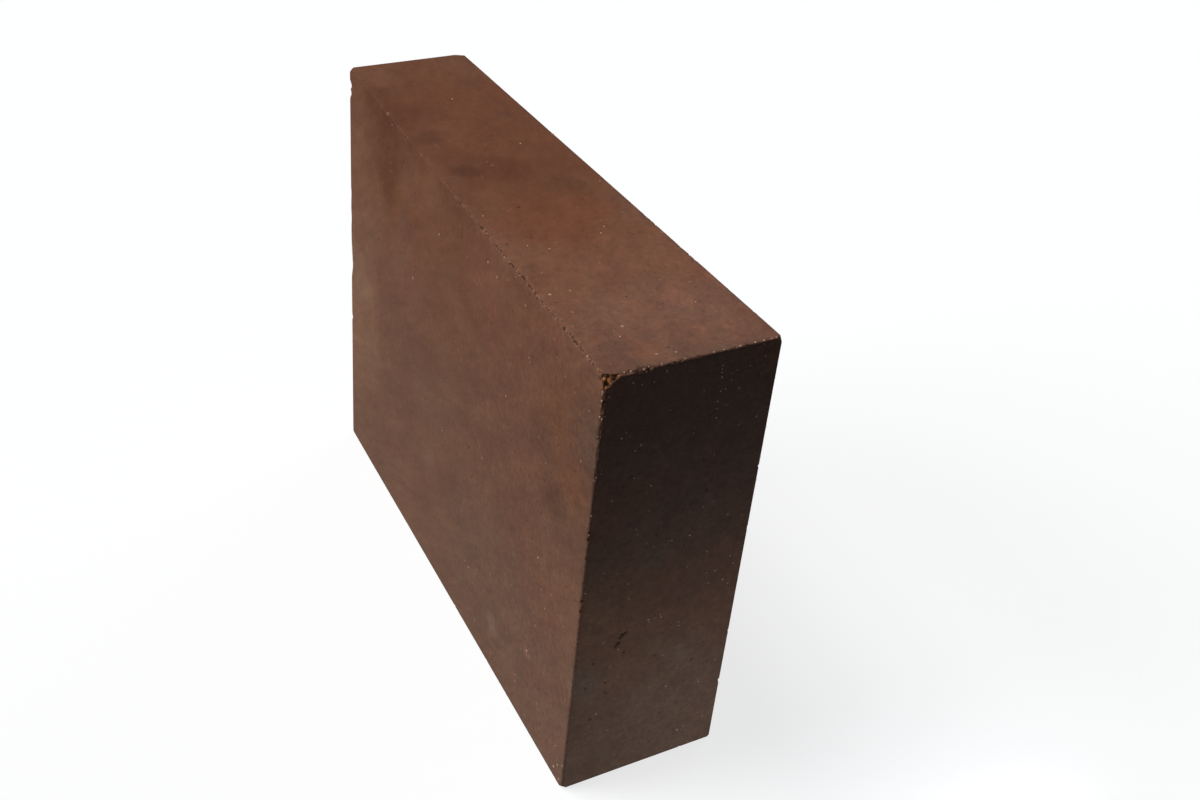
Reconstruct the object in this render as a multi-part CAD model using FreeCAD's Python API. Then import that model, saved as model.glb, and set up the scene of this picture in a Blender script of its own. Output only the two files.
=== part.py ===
"""Refractory firebrick: one solid tapered kiln brick, standing on one of its two long narrow faces.

Millimetres, +Z up. The origin is on the floor, under the middle of the brick. The brick's length runs along Y, from
the wide end at -Y to the narrow end at +Y. Its thickness runs along X and tapers evenly on both sides.
"""

import FreeCAD, Part
import math
import os

# Driving dimensions
RADIAL_LENGTH = 250.0  # from the wide end to the narrow end
AXIAL_LENGTH = 198.0  # the brick's height as it stands
WIDE_THICKNESS = 69.0  # thickness at the wide end
NARROW_THICKNESS = 54.0  # thickness at the narrow end
ARRIS_RADIUS = 0.6  # the slightly rubbed pressed edges

# The shallow groove pressed straight across the narrow end, at the middle of its height
GROOVE_DEPTH = 1.85  # before its deepest line is rounded
GROOVE_UPPER_RUN = 14.5  # height of the gentle flank, above the deepest line
GROOVE_LOWER_RUN = 7.0  # height of the steeper flank, below it
GROOVE_ROUNDING = 8.0  # radius of the deepest line and of both lips

# The places of a corner along X, Y and Z
LEFT, RIGHT = -1, 1
WIDE_END, NARROW_END = 0, 1
BASE, TOP = 0, 1

# The corners knocked off in handling, each with what is missing along X, Y and Z
CORNER_CHIPS = {
    (LEFT, WIDE_END, TOP): (7.0, 3.0, 5.5),
    (RIGHT, WIDE_END, TOP): (2.5, 2.0, 3.0),
    (LEFT, WIDE_END, BASE): (2.6, 2.6, 2.6),
    (RIGHT, WIDE_END, BASE): (1.6, 1.6, 1.6),
    (LEFT, NARROW_END, TOP): (2.2, 2.4, 2.4),
    (RIGHT, NARROW_END, TOP): (5.2, 2.6, 1.6),
    (LEFT, NARROW_END, BASE): (1.6, 1.6, 1.8),
    (RIGHT, NARROW_END, BASE): (2.0, 1.6, 1.6),
}
CUTTER_SPREAD = 2.0  # a chip's cutter is this many times as large as what it takes away

SHARP_TURN = math.radians(30)  # faces that meet at more than this make an arris
LEVEL_TOLERANCE = 1e-3
NODE = "firebrick"


def half_thickness(y):
    """Half of the brick's thickness at the distance y from the wide end."""
    taper = (WIDE_THICKNESS - NARROW_THICKNESS) / RADIAL_LENGTH
    return (WIDE_THICKNESS - taper * y) / 2


def closed_face(points):
    """A flat face bounded by straight edges through the points."""
    return Part.Face(Part.makePolygon([*points, points[0]]))


def plan_prism():
    """The tapered outline seen from above, raised to the brick's height."""
    corners = [
        (LEFT * half_thickness(0), 0),
        (RIGHT * half_thickness(0), 0),
        (RIGHT * half_thickness(RADIAL_LENGTH), RADIAL_LENGTH),
        (LEFT * half_thickness(RADIAL_LENGTH), RADIAL_LENGTH),
    ]
    outline = closed_face([FreeCAD.Vector(x, y, 0) for x, y in corners])
    return outline.extrude(FreeCAD.Vector(0, 0, AXIAL_LENGTH))


def groove_heights():
    """Where the groove's lower lip, its deepest line and its upper lip run across the narrow end."""
    middle = AXIAL_LENGTH / 2
    return middle - GROOVE_LOWER_RUN, middle, middle + GROOVE_UPPER_RUN


def side_prism():
    """The outline seen from the side, groove and all, as wide as the brick is anywhere."""
    lower_lip, deepest, upper_lip = groove_heights()
    corners = [
        (0, 0),
        (RADIAL_LENGTH, 0),
        (RADIAL_LENGTH, lower_lip),
        (RADIAL_LENGTH - GROOVE_DEPTH, deepest),
        (RADIAL_LENGTH, upper_lip),
        (RADIAL_LENGTH, AXIAL_LENGTH),
        (0, AXIAL_LENGTH),
    ]
    width = max(WIDE_THICKNESS, NARROW_THICKNESS)
    outline = closed_face([FreeCAD.Vector(-width / 2, y, z) for y, z in corners])
    block = outline.extrude(FreeCAD.Vector(width, 0, 0))
    return block.makeFillet(GROOVE_ROUNDING, [edge for edge in block.Edges if on_groove(edge)])


def on_groove(edge):
    """Whether an edge is one of the groove's three lines."""
    box = edge.BoundBox
    runs_across = box.ZLength < LEVEL_TOLERANCE and box.YLength < LEVEL_TOLERANCE
    return runs_across and any(abs(box.ZMin - z) < LEVEL_TOLERANCE for z in groove_heights())


def arrises(solid):
    """The edges where two faces meet at a sharp turn."""
    found = []
    for edge in solid.Edges:
        middle = edge.valueAt((edge.FirstParameter + edge.LastParameter) / 2)
        sides = solid.ancestorsOfType(edge, Part.Face)
        first, second = [face.normalAt(*face.Surface.parameter(middle)) for face in sides]
        if first.getAngle(second) > SHARP_TURN:
            found.append(edge)
    return found


def chip_cutter(place, missing):
    """A three-sided bar over one corner. Its inner end is the broken face that it leaves."""
    side, end, level = place
    y = end * RADIAL_LENGTH
    corner = FreeCAD.Vector(side * half_thickness(y), y, level * AXIAL_LENGTH)
    inward_y = 1 - 2 * end
    inward_z = 1 - 2 * level
    follow_taper = side * (half_thickness(y + inward_y) - half_thickness(y))
    along_edges = [
        FreeCAD.Vector(-side, 0, 0),
        FreeCAD.Vector(follow_taper, inward_y, 0),
        FreeCAD.Vector(0, 0, inward_z),
    ]
    broken = [corner + edge * length for edge, length in zip(along_edges, missing)]
    middle = sum(broken, FreeCAD.Vector()) / len(broken)
    spread = [middle + (point - middle) * CUTTER_SPREAD for point in broken]
    return closed_face(spread).extrude((corner - middle) * CUTTER_SPREAD)


def firebrick():
    """The whole brick, with its origin under its middle."""
    brick = side_prism().common(plan_prism()).Solids[0]
    brick = brick.makeFillet(ARRIS_RADIUS, arrises(brick))
    chips = [chip_cutter(place, missing) for place, missing in CORNER_CHIPS.items()]
    brick = brick.cut(chips).Solids[0]
    brick.translate(FreeCAD.Vector(0, -RADIAL_LENGTH / 2, 0))
    return brick


def main():
    os.makedirs("parts", exist_ok=True)
    brick = firebrick()
    print(NODE, "valid", brick.isValid(), "volume in cubic millimetres", round(brick.Volume))
    brick.exportStep(f"parts/{NODE}.step")


main()
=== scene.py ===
# %% [markdown]
# # A tapered kiln brick, pressed, fired and handled
#
# The object is one dense refractory brick. A press squeezed damp grit into a steel mould, a kiln fired the block
# hard, and handling knocked its corners and rubbed its edges. Nothing is fixed to it and nothing on it moves.
#
# The solid comes in as a fixed frame at its real size. This lesson gives it its surface: a skin that is dense enough
# to hold crumbled edges and dents, grit that clings where the edge has broken, and a fired finish that is mixed from
# real sizes in millimetres. Every length below is in metres unless its name or comment says otherwise.

import math

import bpy
from mathutils import Matrix, Vector


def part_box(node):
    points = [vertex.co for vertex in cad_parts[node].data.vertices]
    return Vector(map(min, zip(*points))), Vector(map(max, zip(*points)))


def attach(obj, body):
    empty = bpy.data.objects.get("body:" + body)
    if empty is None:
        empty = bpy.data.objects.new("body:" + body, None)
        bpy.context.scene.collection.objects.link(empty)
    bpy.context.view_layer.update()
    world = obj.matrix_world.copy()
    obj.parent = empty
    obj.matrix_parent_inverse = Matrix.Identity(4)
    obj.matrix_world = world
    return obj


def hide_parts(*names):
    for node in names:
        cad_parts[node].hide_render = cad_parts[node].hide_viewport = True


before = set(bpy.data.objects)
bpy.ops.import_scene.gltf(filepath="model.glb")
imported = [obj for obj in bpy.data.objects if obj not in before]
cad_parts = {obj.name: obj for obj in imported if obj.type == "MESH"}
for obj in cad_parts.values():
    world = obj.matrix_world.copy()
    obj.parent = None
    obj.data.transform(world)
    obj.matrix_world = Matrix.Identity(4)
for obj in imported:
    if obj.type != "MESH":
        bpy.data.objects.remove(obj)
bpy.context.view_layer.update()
brick_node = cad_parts["firebrick"]

# %% [markdown]
# ## The brick's own measures
#
# Everything is worked out from the frame, so a brick of another format is dressed in the same way. The box gives the
# height and the length. The taper is read from the solid itself: the point that stands out furthest beside each end
# tells how thick the brick is there.

# %% Measures
MM = 0.001

brick_low, brick_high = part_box("firebrick")
brick_size = brick_high - brick_low
brick_centre = (brick_low + brick_high) / 2
brick_top = brick_high.z


def thickest_beside(end_y, reach=2 * MM):
    """Half of the solid's thickness beside one of its ends."""
    return max(abs(v.co.x) for v in brick_node.data.vertices if abs(v.co.y - end_y) < reach)


wide_half = thickest_beside(brick_low.y)
narrow_half = thickest_beside(brick_high.y)
print(f"{brick_size.y / MM:.1f} mm long, {brick_size.z / MM:.1f} mm high")
print(f"{2 * wide_half / MM:.1f} mm thick at the wide end, {2 * narrow_half / MM:.1f} mm at the narrow end")

# %% [markdown]
# ## Two helpers
#
# A colour is given as an sRGB hex value, but the renderer counts in linear light, so one function turns the first into
# the second. The other helper adds a node to any tree, with its settings and what feeds each input. It keeps a long
# tree readable: one call is one node, and it reads from left to right as the tree does.

# %% Helpers
KNEE, FOOT, GAMMA = 0.04045, 12.92, 2.4
OFFSET = 0.055


def hex_colour(text):
    """The linear colour of an sRGB value written as #rrggbb."""
    shares = [int(text[i : i + 2], 16) / 255 for i in (1, 3, 5)]
    linear = [s / FOOT if s <= KNEE else ((s + OFFSET) / (1 + OFFSET)) ** GAMMA for s in shares]
    return (*linear, 1.0)


def add(tree, kind, inputs=None, **settings):
    """Adds a node with its settings, then sets or links each input, named or numbered."""
    node = tree.nodes.new(kind)
    for name, value in settings.items():
        setattr(node, name, value)
    for key, value in (inputs or {}).items():
        if isinstance(value, bpy.types.NodeSocket):
            tree.links.new(value, node.inputs[key])
        else:
            node.inputs[key].default_value = value
    return node


print("a mid brown in linear light:", [round(c, 3) for c in hex_colour("#70503f")])

# %% [markdown]
# ## Trees with named inputs
#
# A Geometry Nodes tree is a small factory. Its inputs are its dials, and a modifier on an object turns them. These
# two functions make an empty tree with its dials, and run a finished tree on an object until a plain mesh comes out.
# The modifier is gone afterwards, because what is handed on is the mesh and not the factory.

# %% Making and running a tree
SOCKETS = {
    float: "NodeSocketFloat",
    int: "NodeSocketInt",
    Vector: "NodeSocketVector",
    bpy.types.Object: "NodeSocketObject",
    bpy.types.Material: "NodeSocketMaterial",
}


def new_tree(name, dials):
    """A geometry tree with one geometry input and a dial for each name in dials, and the node that brings them in."""
    tree = bpy.data.node_groups.new(name, "GeometryNodeTree")
    tree.interface.new_socket("Geometry", in_out="INPUT", socket_type="NodeSocketGeometry")
    tree.interface.new_socket("Geometry", in_out="OUTPUT", socket_type="NodeSocketGeometry")
    for dial, value in dials.items():
        tree.interface.new_socket(dial, in_out="INPUT", socket_type=SOCKETS[type(value)])
    return tree, tree.nodes.new("NodeGroupInput").outputs


def finish_tree(tree, geometry, material):
    """Ends a tree as the export needs it: no instances left, and a material on every face."""
    real = add(tree, "GeometryNodeRealizeInstances", {"Geometry": geometry})
    painted = add(tree, "GeometryNodeSetMaterial", {"Geometry": real.outputs[0], "Material": material})
    add(tree, "NodeGroupOutput", {0: painted.outputs[0]})


def run_tree(tree, dials, name, start=None, keep_faces=None):
    """Runs a tree on a mesh, or on nothing, and returns its result as a plain object at the origin."""
    worker = bpy.data.objects.new(name + "_worker", start or bpy.data.meshes.new(name + "_start"))
    bpy.context.scene.collection.objects.link(worker)
    modifier = worker.modifiers.new(tree.name, "NODES")
    modifier.node_group = tree
    sockets = {item.name: item.identifier for item in tree.interface.items_tree if item.in_out == "INPUT"}
    for dial, value in dials.items():
        modifier[sockets[dial]] = value
    if keep_faces:
        thinner = worker.modifiers.new("thinner", "DECIMATE")
        thinner.ratio = keep_faces
        thinner.use_collapse_triangulate = True
    result = bpy.context.evaluated_depsgraph_get()
    mesh = bpy.data.meshes.new_from_object(worker.evaluated_get(result), depsgraph=result)
    mesh.name = name
    bpy.data.objects.remove(worker)
    piece = bpy.data.objects.new(name, mesh)
    bpy.context.scene.collection.objects.link(piece)
    triangles = sum(len(p.vertices) - 2 for p in mesh.polygons)
    print(f"{name}: {len(mesh.vertices)} points, {triangles} triangles")
    return piece

# %% [markdown]
# ## The camera
#
# The camera comes early, because every later choice is judged through it. It stands above the near left corner and
# leans a little, as a camera held by hand does. Its place is given in millimetres from the middle of the base, and
# its three angles turn a plain view: the azimuth goes round the brick, the elevation looks down on it, and the roll
# tips the picture.

# %% Camera
CAMERA_PLACE = Vector((-245.41, -465.98, 473.93)) * MM
CAMERA_AZIMUTH = math.radians(-31.609)
CAMERA_ELEVATION = math.radians(35.355)
CAMERA_ROLL = math.radians(6.059)
SENSOR_WIDTH = 36.0
FOCAL_LENGTH = 45.758

back = Vector((
    math.sin(CAMERA_AZIMUTH) * math.cos(CAMERA_ELEVATION),
    -math.cos(CAMERA_AZIMUTH) * math.cos(CAMERA_ELEVATION),
    math.sin(CAMERA_ELEVATION),
))
level_right = Vector((0, 0, 1)).cross(back).normalized()
level_up = back.cross(level_right)
right = level_right * math.cos(CAMERA_ROLL) + level_up * math.sin(CAMERA_ROLL)
up = back.cross(right)

lens = bpy.data.cameras.new("camera")
lens.sensor_width = SENSOR_WIDTH
lens.lens = FOCAL_LENGTH
camera = bpy.data.objects.new("camera", lens)
bpy.context.scene.collection.objects.link(camera)
camera.matrix_world = Matrix.Translation(CAMERA_PLACE) @ Matrix((right, up, back)).transposed().to_4x4()
bpy.context.scene.camera = camera
print(f"the camera stands {(CAMERA_PLACE - brick_centre).length:.2f} m from the middle of the brick")

# %% [markdown]
# ## The pressed skin, as a rule
#
# On the real brick the faces come straight from the mould: flat, a little wavy, with the grit just showing. A cube
# primitive with a fine grid is the same thing, and a rule can do the rest, so the skin is a Geometry Nodes tree.
# The other way would be to subdivide the solid's own triangles, but they are long and thin and would dent unevenly.
#
# The tree is built in the order in which the brick came to be: blank, taper, pressing, wear, dents. Its dials are
# real sizes.

# %% The skin's dials
GRID = 0.45 * MM

press_form = brick_node.copy()
press_form.data = brick_node.data.copy()
bpy.context.scene.collection.objects.link(press_form)
finish = bpy.data.materials.new("fired_magnesia_chrome")

skin_dials = {
    "Press Form": press_form,
    "Finish": finish,
    "Size": Vector((2 * wide_half, brick_size.y, brick_size.z)),
    "Centre": brick_centre,
    "Narrow Share": narrow_half / wide_half,
    "Points X": round(2 * wide_half / GRID) + 1,
    "Points Y": round(brick_size.y / GRID) + 1,
    "Points Z": round(brick_size.z / GRID) + 1,
    "Rub Depth": 0.08 * MM,
    "Rub Width": 0.9 * MM,
    "Chip Depth": 0.75 * MM,
    "Chip Width": 1.9 * MM,
    "Crumb Size": 1.2 * MM,
    "Crumb Depth": 0.35 * MM,
    "Wave Length": 45 * MM,
    "Wave Depth": 0.12 * MM,
    "Grit Size": 2.4 * MM,
    "Grit Depth": 0.035 * MM,
    "Pit Spacing": 7.0 * MM,
    "Pit Width": 0.9 * MM,
    "Pit Depth": 0.35 * MM,
}
skin, dial = new_tree("pressed_skin", skin_dials)
print("points along X, Y and Z:", [skin_dials["Points " + axis] for axis in "XYZ"])

# %% [markdown]
# ## Blank and taper
#
# Two cubes get the same taper. The fine one is the blank that becomes the skin. The coarse one has a point at each
# corner and nothing between, so its edges are the brick's ideal arrises: how far any point of the skin lies from
# them says how exposed it is to knocks. Asking the cage is simpler than working that distance out from formulas.

# %% Blank and taper
place = add(skin, "GeometryNodeInputPosition").outputs[0]
ratio = add(skin, "ShaderNodeVectorMath", {0: place, 1: dial["Size"]}, operation="DIVIDE")
along = add(skin, "ShaderNodeSeparateXYZ", {0: ratio.outputs[0]})
share = add(
    skin,
    "ShaderNodeMapRange",
    {"Value": along.outputs["Y"], "From Min": -0.5, "From Max": 0.5, "To Min": 1.0, "To Max": dial["Narrow Share"]},
)
squeeze = add(skin, "ShaderNodeCombineXYZ", {"X": share.outputs[0], "Y": 1.0, "Z": 1.0})
tapered = add(skin, "ShaderNodeVectorMath", {0: place, 1: squeeze.outputs[0]}, operation="MULTIPLY")


def tapered_block(points_x, points_y, points_z):
    """A cube with this many points along each edge, tapered and stood in its place."""
    counts = {"Vertices X": points_x, "Vertices Y": points_y, "Vertices Z": points_z}
    cube = add(skin, "GeometryNodeMeshCube", {"Size": dial["Size"], **counts})
    shaped = add(skin, "GeometryNodeSetPosition", {"Geometry": cube.outputs[0], "Position": tapered.outputs[0]})
    stood = add(skin, "GeometryNodeTransform", {"Geometry": shaped.outputs[0], "Translation": dial["Centre"]})
    return stood.outputs[0]


blank = tapered_block(dial["Points X"], dial["Points Y"], dial["Points Z"])
cage = tapered_block(2, 2, 2)

# %% [markdown]
# ## Pressed against the form
#
# The solid has what the blank lacks: the groove across the narrow end, the rubbed edges and the knocked corners. The
# Geometry Proximity node finds the nearest place on it for every point of the blank, and the point goes there. How
# far it had to go is kept, because at a corner that distance is the chip, and the chip has the colour of the inside.

# %% Pressing
CORNER_REACH = 12 * MM
CHIP_SHOWS_FROM, CHIP_SHOWS_BY = 0.30 * MM, 0.5 * MM

form = add(skin, "GeometryNodeObjectInfo", {"Object": dial["Press Form"]})
contact = add(skin, "GeometryNodeProximity", {"Geometry": form.outputs["Geometry"]}, target_element="FACES")
to_corner = add(skin, "GeometryNodeProximity", {"Geometry": cage}, target_element="POINTS").outputs["Distance"]
near_corner = add(skin, "ShaderNodeMath", {0: to_corner, 1: CORNER_REACH}, operation="LESS_THAN")
knocked = add(
    skin,
    "ShaderNodeMapRange",
    {"Value": contact.outputs["Distance"], "From Min": CHIP_SHOWS_FROM, "From Max": CHIP_SHOWS_BY},
)
knocked_off = add(skin, "ShaderNodeMath", {0: knocked.outputs[0], 1: near_corner.outputs[0]}, operation="MULTIPLY")
noted = add(
    skin,
    "GeometryNodeStoreNamedAttribute",
    {"Geometry": blank, "Name": "knocked", "Value": knocked_off.outputs[0]},
)
pressed = add(
    skin,
    "GeometryNodeSetPosition",
    {"Geometry": noted.outputs[0], "Position": contact.outputs["Position"]},
).outputs[0]

# %% [markdown]
# ## Crumbled arrises
#
# Fired grit breaks at an edge in small bites: some stretches stay crisp, others crumble for a centimetre. A bite
# starts where closeness to the arris and four sizes of noise together pass a limit, so its outline wanders as a
# broken edge does. Inside a bite the surface goes back, and a Voronoi pattern roughens it to single grains. The arris
# by which the brick was carried is the weakest, so the limit is nearest there: it is told by the distance from a
# point beside that arris.
#
# Sculpting each bite by hand would give the same look for one brick. The rule gives it to all twelve edges at once,
# and the hidden ones look as real as those in view.

# %% Where the arris has crumbled
BITE_LENGTHS = {"stretch": 55 * MM, "notch": 14 * MM, "bite": 4 * MM, "crumb": 1.3 * MM}
BITE_WEIGHTS = {"stretch": 1.8, "notch": 1.2, "bite": 1.5, "crumb": 1.1}
CORNER_WEIGHT = 0.15
BITE_LIMIT = 4.0
MOST_HANDLED = Vector((-wide_half, brick_low.y, brick_top)) + Vector((-60, 40, 0)) * MM
HANDLED_REACH, HANDLED_WEIGHT, SPARED_WEIGHT = 158 * MM, 1.3, -0.15
BITE_EDGE = 0.1
BITE_FULL = 1.2
BITE_SLOPE = 0.6

to_arris = add(skin, "GeometryNodeProximity", {"Geometry": cage}, target_element="EDGES").outputs["Distance"]
closeness = add(
    skin,
    "ShaderNodeMapRange",
    {"Value": to_arris, "From Min": 0.0, "From Max": dial["Chip Width"], "To Min": 1.0, "To Max": 0.0},
    clamp=False,
)
cornered = add(
    skin,
    "ShaderNodeMapRange",
    {"Value": to_corner, "From Min": 0.0, "From Max": CORNER_REACH, "To Min": CORNER_WEIGHT, "To Max": 0.0},
)
weakness = add(skin, "ShaderNodeMath", {0: closeness.outputs[0], 1: cornered.outputs[0]}, operation="ADD").outputs[0]
from_hand = add(skin, "ShaderNodeVectorMath", {0: place, 1: MOST_HANDLED}, operation="DISTANCE").outputs[1]
handled = {"Value": from_hand, "From Max": HANDLED_REACH, "To Min": HANDLED_WEIGHT, "To Max": SPARED_WEIGHT}
handled = add(skin, "ShaderNodeMapRange", handled).outputs[0]
weakness = add(skin, "ShaderNodeMath", {0: weakness, 1: handled}, operation="ADD").outputs[0]
for name, length in BITE_LENGTHS.items():
    grain = add(skin, "ShaderNodeTexNoise", {"Scale": 1 / length, "Detail": 1.0})
    weighed = {0: grain.outputs["Fac"], 1: BITE_WEIGHTS[name], 2: weakness}
    weakness = add(skin, "ShaderNodeMath", weighed, operation="MULTIPLY_ADD").outputs[0]
bitten = add(
    skin,
    "ShaderNodeMapRange",
    {"Value": weakness, "From Min": BITE_LIMIT, "From Max": BITE_LIMIT + BITE_EDGE},
    interpolation_type="SMOOTHSTEP",
).outputs[0]
bite_ramp = add(
    skin,
    "ShaderNodeMapRange",
    {"Value": weakness, "From Min": BITE_LIMIT, "From Max": BITE_LIMIT + BITE_FULL},
).outputs[0]
bite_curve = add(skin, "ShaderNodeMath", {0: bite_ramp, 1: BITE_SLOPE}, operation="POWER").outputs[0]
bite_depth = add(skin, "ShaderNodeMath", {0: bite_curve, 1: dial["Chip Depth"]}, operation="MULTIPLY").outputs[0]

# %% [markdown]
# ## Rubbed edges, waves, grit and pits
#
# Four quieter things shape the faces. Rubbing rounds every arris a little more than the mould left it. The faces are
# wavy by a tenth of a millimetre, because the mould's liners wear. The pressed grit shows as the faintest relief. And
# here and there a coarse grain has dropped out and left a pit, which noise bends out of round.
#
# Each is a depth in metres, so they simply add up. All of them take away, so the skin never grows past the solid.
#
# A Voronoi cell's colour is also the place of its point, so drawing lots by it would line the pits up. Multiplied and
# cut to its fraction it is a fair lot.

# %% Depths that add up
PIT_CHANCE = 0.45
PIT_SHADE = 0.6
BEND = 1.6 * MM
BEND_LENGTH = 1.7 * MM

LOT_STEPS = 37.0


def fair_lots(tree, cells):
    """Three lots between nought and one for each Voronoi cell that don't depend on where in the cell its point is."""
    spread = add(tree, "ShaderNodeVectorMath", {0: cells.outputs["Color"], 1: (LOT_STEPS,) * 3}, operation="MULTIPLY")
    lots = add(tree, "ShaderNodeVectorMath", {0: spread.outputs[0]}, operation="FRACTION")
    return add(tree, "ShaderNodeSeparateXYZ", {0: lots.outputs[0]}).outputs


crumb_scale = add(skin, "ShaderNodeMath", {0: 1.0, 1: dial["Crumb Size"]}, operation="DIVIDE").outputs[0]
crumbs = add(skin, "ShaderNodeTexVoronoi", {"Scale": crumb_scale}).outputs["Distance"]
rough_bite = add(skin, "ShaderNodeMath", {0: crumbs, 1: dial["Crumb Depth"]}, operation="MULTIPLY").outputs[0]
knocked_before = add(skin, "GeometryNodeInputNamedAttribute", {"Name": "knocked"}).outputs[0]
broken = add(skin, "ShaderNodeMath", {0: bitten, 1: knocked_before}, operation="MAXIMUM").outputs[0]
crumb_depth = add(skin, "ShaderNodeMath", {0: rough_bite, 1: broken}, operation="MULTIPLY").outputs[0]

rub_depth = add(
    skin,
    "ShaderNodeMapRange",
    {"Value": to_arris, "From Min": 0.0, "From Max": dial["Rub Width"], "To Min": dial["Rub Depth"], "To Max": 0.0},
    interpolation_type="SMOOTHERSTEP",
).outputs[0]

wave_scale = add(skin, "ShaderNodeMath", {0: 1.0, 1: dial["Wave Length"]}, operation="DIVIDE").outputs[0]
waves = add(skin, "ShaderNodeTexNoise", {"Scale": wave_scale, "Detail": 1.0}).outputs["Fac"]
wave_depth = add(skin, "ShaderNodeMath", {0: waves, 1: dial["Wave Depth"]}, operation="MULTIPLY").outputs[0]

grit_scale = add(skin, "ShaderNodeMath", {0: 1.0, 1: dial["Grit Size"]}, operation="DIVIDE").outputs[0]
grit = add(skin, "ShaderNodeTexNoise", {"Scale": grit_scale, "Detail": 1.0}).outputs["Fac"]
grit_depth = add(skin, "ShaderNodeMath", {0: grit, 1: dial["Grit Depth"]}, operation="MULTIPLY").outputs[0]

bend_noise = add(skin, "ShaderNodeTexNoise", {"Scale": 1 / BEND_LENGTH}).outputs["Color"]
bend_even = add(skin, "ShaderNodeVectorMath", {0: bend_noise, 1: (0.5, 0.5, 0.5)}, operation="SUBTRACT").outputs[0]
bend = add(skin, "ShaderNodeVectorMath", {0: bend_even, 1: (BEND,) * 3}, operation="MULTIPLY").outputs[0]
bent_place = add(skin, "ShaderNodeVectorMath", {0: place, 1: bend}, operation="ADD").outputs[0]

pit_scale = add(skin, "ShaderNodeMath", {0: 1.0, 1: dial["Pit Spacing"]}, operation="DIVIDE").outputs[0]
pit_cells = add(skin, "ShaderNodeTexVoronoi", {"Vector": bent_place, "Scale": pit_scale})
pit_reach = add(skin, "ShaderNodeMath", {0: dial["Pit Width"], 1: pit_scale}, operation="MULTIPLY").outputs[0]
pit_shape = add(
    skin,
    "ShaderNodeMapRange",
    {"Value": pit_cells.outputs["Distance"], "From Min": 0.0, "From Max": pit_reach, "To Min": 1.0, "To Max": 0.0},
    interpolation_type="SMOOTHSTEP",
).outputs[0]
pit_lot = fair_lots(skin, pit_cells)["X"]
pit_drawn = add(skin, "ShaderNodeMath", {0: pit_lot, 1: PIT_CHANCE}, operation="LESS_THAN").outputs[0]
pitted = add(skin, "ShaderNodeMath", {0: pit_shape, 1: pit_drawn}, operation="MULTIPLY").outputs[0]
pit_depth = add(skin, "ShaderNodeMath", {0: pitted, 1: dial["Pit Depth"]}, operation="MULTIPLY").outputs[0]

# %% [markdown]
# ## Dents in their places
#
# Chance can't put a dent where this brick has one. The dents and edge nicks that stand out are a short list of real
# places and sizes, kept as the points of a small mesh. Each point of the skin asks for its nearest dent, and goes back
# by its depth where it lies within its width. It asks from the same bent place, so no dent is a neat bowl.
# Its colour also darkens with painted shade, the more so the steeper the dent is for its width.

# %% Dents
# Each has its place along X, Y and Z, its half width and its depth, in millimetres.
DENTS = (
    (-15.9, -125.0, 75.9, 1.4, 0.7),
    (-14.9, -125.0, 76.9, 1.6, 0.9),
    (-13.7, -125.0, 77.7, 1.3, 0.6),
    (-17.3, -125.0, 72.2, 1.3, 0.6),
    (-16.5, -125.0, 73.3, 1.4, 0.8),
    (-13.3, -125.0, 67.3, 0.9, 0.6),
    (-20.0, -125.0, 54.0, 1.0, 0.5),
    (-26.5, -125.0, 66.5, 0.9, 0.4),
    (-28.5, -125.0, 54.0, 1.2, 0.4),
    (-19.5, -125.0, 48.5, 0.9, 0.4),
    (-25.0, -125.0, 36.0, 1.1, 0.5),
    (18.5, -125.0, 51.0, 1.3, 0.4),
    (16.5, -125.0, 40.0, 1.1, 0.4),
    (1.0, -125.0, 60.0, 1.2, 0.3),
    (7.5, -125.0, 26.0, 1.1, 0.3),
    (12.5, -125.0, 138.0, 1.0, 0.4),
    (-22.5, -125.0, 150.0, 0.9, 0.4),
    (-32.8, -124.2, 194.6, 1.4, 1.0),
    (-30.6, -123.0, 197.2, 1.2, 0.8),
    (-34.0, -121.6, 195.8, 1.1, 0.8),
    (-34.4, -124.9, 132.5, 1.0, 0.6),
    (-34.2, -124.9, 129.5, 1.3, 0.9),
    (-34.4, -124.9, 120.5, 0.9, 0.6),
    (-34.4, -124.9, 100.5, 1.3, 0.9),
    (-34.2, -124.9, 95.5, 1.4, 0.9),
    (34.4, -124.9, 33.0, 1.5, 0.9),
    (34.4, -124.9, 60.5, 1.0, 0.5),
    (30.5, 38.0, 198.0, 1.5, 0.7),
    (-11.4, -13.3, 198.0, 0.9, 0.6),
    (-27.0, 124.9, 189.8, 3.4, 0.8),
    (-27.0, 124.9, 186.3, 2.8, 0.7),
    (-27.0, 124.9, 136.0, 5.5, 0.15),
    (-27.0, 124.9, 124.0, 5.5, 0.15),
    (-27.0, 124.9, 69.7, 2.0, 0.4),
)
DARK_SLOPE = 0.55

dent_mesh = bpy.data.meshes.new("dents")
dent_mesh.from_pydata([Vector(dent[:3]) * MM for dent in DENTS], [], [])
for name, column in {"dent_width": 3, "dent_depth": 4}.items():
    values = dent_mesh.attributes.new(name, "FLOAT", "POINT").data
    values.foreach_set("value", [dent[column] * MM for dent in DENTS])
dent_points = bpy.data.objects.new("dents", dent_mesh)
bpy.context.scene.collection.objects.link(dent_points)

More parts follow.
